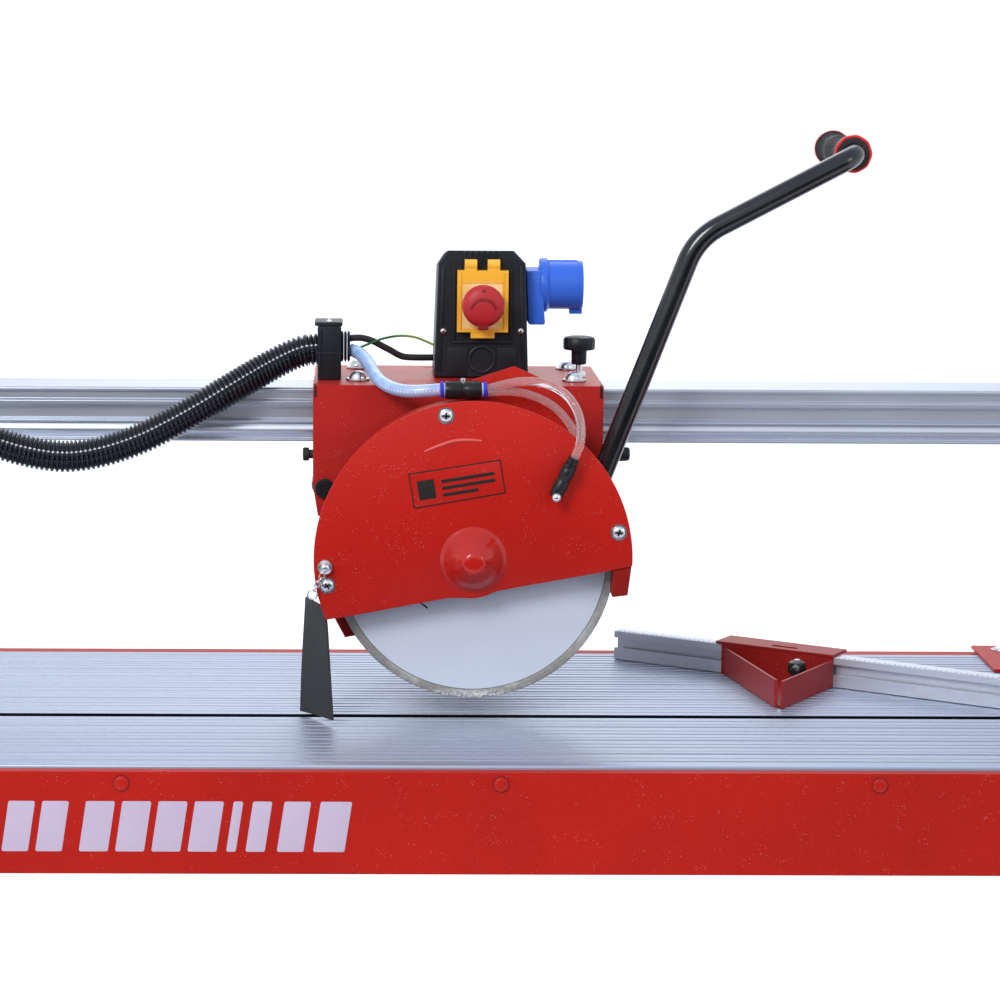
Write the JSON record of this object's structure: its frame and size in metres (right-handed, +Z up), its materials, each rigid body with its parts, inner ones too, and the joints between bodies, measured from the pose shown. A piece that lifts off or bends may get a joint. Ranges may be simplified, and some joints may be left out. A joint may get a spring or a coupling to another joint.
{
  "type": "wet tile saw",
  "caption": "Rail wet tile saw: ribbed table on folding legs, tilting beam, sliding carriage, plunging guarded blade head with bent handle, angle fence.",
  "frame": {"origin": "on the floor, under the middle of the table", "axes": "+X along the table and the beam to the operator's right, +Y away from the operator, +Z up"},
  "size_m": [1.8275, 0.5, 1.3134],
  "materials": {
    "red_paint": "orange-peel red powder coat",
    "aluminium": "satin extruded aluminium",
    "steel": "bright turned steel",
    "zinc": "bright zinc plate",
    "black_plastic": "fine grained black plastic",
    "black_paint": "gloss black paint",
    "black_rubber": "matte rubber",
    "yellow_plastic": "satin yellow plastic",
    "red_plastic": "satin red plastic",
    "green_plastic": "satin green plastic",
    "blue_plastic": "satin blue plastic",
    "blue_hose": "translucent light blue hose",
    "clear_hose": "clear soft tube",
    "grey_paint": "satin grey paint"
  },
  "bodies": {
    "table": {"front_rail": "red_paint", "rear_rail": "red_paint", "base_frame": "red_paint", "table_slab_front": "aluminium", "table_slab_rear": "aluminium", "water_tray": "zinc", "water_pump": "black_plastic", "end_support_left": "red_paint", "end_support_right": "red_paint"},
    "leg_left": {"leg_left": "red_paint", "foot_left_front": "black_rubber", "foot_left_rear": "black_rubber"},
    "leg_right": {"leg_right": "red_paint", "foot_right_front": "black_rubber", "foot_right_rear": "black_rubber"},
    "bridge": {"beam": "aluminium", "tilt_arm_left": "red_paint", "tilt_arm_right": "red_paint", "conduit_hanger": "steel", "conduit_lower": "black_plastic"},
    "tilt_lock_left": {"tilt_knob_left": "black_plastic"},
    "tilt_lock_right": {"tilt_knob_right": "black_plastic"},
    "carriage": {"carriage_housing": "red_paint", "switch_box": "black_plastic", "power_inlet": "blue_plastic", "conduit_clamp": "black_plastic", "conduit": "black_plastic", "motor_cable": "black_rubber", "roller_bolt_front_left": "zinc", "roller_bolt_front_right": "zinc", "roller_bolt_rear_left": "zinc", "roller_bolt_rear_right": "zinc", "pivot_pin": "black_plastic"},
    "roller_front_left": {"guide_roller_front_left": "steel"},
    "roller_front_right": {"guide_roller_front_right": "steel"},
    "roller_rear_left": {"guide_roller_rear_left": "steel"},
    "roller_rear_right": {"guide_roller_rear_right": "steel"},
    "carriage_lock": {"carriage_lock_knob": "black_plastic"},
    "head_lock": {"head_lock_knob": "black_plastic"},
    "flap": {"switch_flap": "yellow_plastic"},
    "stop": {"stop_button": "red_plastic"},
    "start": {"start_button": "green_plastic"},
    "head": {"swing_arm": "grey_paint", "motor": "grey_paint", "guard_casing": "red_paint", "guard_cover": "red_paint", "handle": "black_paint", "grip": "black_rubber", "hose_connector": "black_plastic", "blue_hose": "blue_hose", "tube_front": "clear_hose", "water_elbow": "black_plastic", "splash_flap": "black_rubber"},
    "blade": {"spindle": "steel", "blade": "steel", "blade_nut": "steel"},
    "fence": {"angle_fence": "aluminium"},
    "bracket": {"fence_bracket": "red_paint"},
    "lever": {"clamp_lever": "black_plastic"}
  },
  "joints": [
    {"name": "leg_left_fold", "type": "hinge", "parent": "table", "child": "leg_left", "pos_m": [-0.7685, 0, 0.688], "axis": [0, -1, 0], "range_deg": [0, 95]},
    {"name": "leg_right_fold", "type": "hinge", "parent": "table", "child": "leg_right", "pos_m": [0.7685, 0, 0.688], "axis": [0, 1, 0], "range_deg": [0, 95]},
    {"name": "bridge_tilt", "type": "hinge", "parent": "table", "child": "bridge", "pos_m": [0, -0.0555, 0.8], "axis": [1, 0, 0], "range_deg": [0, 45], "deforming": ["conduit_lower", "splash_flap"]},
    {"name": "tilt_lock_left_turn", "type": "hinge", "parent": "bridge", "child": "tilt_lock_left", "pos_m": [-0.7915, 0.02431, 0.9501], "axis": [1, 0, 0], "range_deg": [-180, 180]},
    {"name": "tilt_lock_right_turn", "type": "hinge", "parent": "bridge", "child": "tilt_lock_right", "pos_m": [0.7915, 0.02431, 0.9501], "axis": [1, 0, 0], "range_deg": [-180, 180]},
    {"name": "carriage_slide", "type": "slide", "parent": "bridge", "child": "carriage", "axis": [1, 0, 0], "range_m": [-0.7, 0.46], "deforming": ["conduit"]},
    {"name": "roller_front_left_spin", "type": "hinge", "parent": "carriage", "child": "roller_front_left", "pos_m": [0.0395, 0.03, 1.0578], "axis": [0, 0, 1], "range_deg": [-1993, 1993]},
    {"name": "roller_front_right_spin", "type": "hinge", "parent": "carriage", "child": "roller_front_right", "pos_m": [0.2345, 0.03, 1.0578], "axis": [0, 0, 1], "range_deg": [-1993, 1993]},
    {"name": "roller_rear_left_spin", "type": "hinge", "parent": "carriage", "child": "roller_rear_left", "pos_m": [0.0395, 0.126, 1.0578], "axis": [0, 0, 1], "range_deg": [-1993, 1993]},
    {"name": "roller_rear_right_spin", "type": "hinge", "parent": "carriage", "child": "roller_rear_right", "pos_m": [0.2345, 0.126, 1.0578], "axis": [0, 0, 1], "range_deg": [-1993, 1993]},
    {"name": "carriage_lock_turn", "type": "hinge", "parent": "carriage", "child": "carriage_lock", "pos_m": [0.241, 0.062, 1.09], "axis": [0, 0, 1], "range_deg": [-180, 180]},
    {"name": "head_lock_turn", "type": "hinge", "parent": "carriage", "child": "head_lock", "pos_m": [0.2586, 0.02, 1.0253], "axis": [1, 0, 0], "range_deg": [-180, 180]},
    {"name": "flap_swing", "type": "hinge", "parent": "carriage", "child": "flap", "pos_m": [0.1519, 0.0445, 1.1935], "axis": [-1, 0, 0], "range_deg": [0, 100]},
    {"name": "stop_press", "type": "slide", "parent": "flap", "child": "stop", "axis": [0, 1, 0], "range_m": [0, 0.003], "stiffness_N_per_m": 900, "springref_m": -0.002},
    {"name": "start_press", "type": "slide", "parent": "carriage", "child": "start", "axis": [0, 1, 0], "range_m": [0, 0.0025], "stiffness_N_per_m": 700, "springref_m": -0.002},
    {"name": "head_plunge", "type": "hinge", "parent": "carriage", "child": "head", "pos_m": [0.0103, 0, 0.997], "axis": [0, 1, 0], "range_deg": [0, 13.3], "stiffness_Nm_per_rad": 60, "springref_deg": -42.97, "deforming": ["blue_hose"]},
    {"name": "blade_turn", "type": "hinge", "parent": "head", "child": "blade", "pos_m": [0.1418, -0.0555, 0.9424], "axis": [0, 1, 0], "continuous": true},
    {"name": "fence_swing", "type": "hinge", "parent": "table", "child": "fence", "pos_m": [0.305, 0.205, 0.8], "axis": [0, 0, 1], "range_deg": [0, 18]},
    {"name": "bracket_slide", "type": "slide", "parent": "fence", "child": "bracket", "axis": [0.8415, -0.5402, 0], "range_m": [-0.08, 0]},
    {"name": "lever_turn", "type": "hinge", "parent": "bracket", "child": "lever", "pos_m": [0.44611, 0.05096, 0.8029], "axis": [0, 0, 1], "range_deg": [-30, 20]}
  ],
  "couplings": [
    {"joint": "roller_front_left_spin", "follows": "carriage_slide", "rad_per_m": 48.309},
    {"joint": "roller_front_right_spin", "follows": "carriage_slide", "rad_per_m": 48.309},
    {"joint": "roller_rear_left_spin", "follows": "carriage_slide", "rad_per_m": -48.309},
    {"joint": "roller_rear_right_spin", "follows": "carriage_slide", "rad_per_m": -48.309}
  ]
}
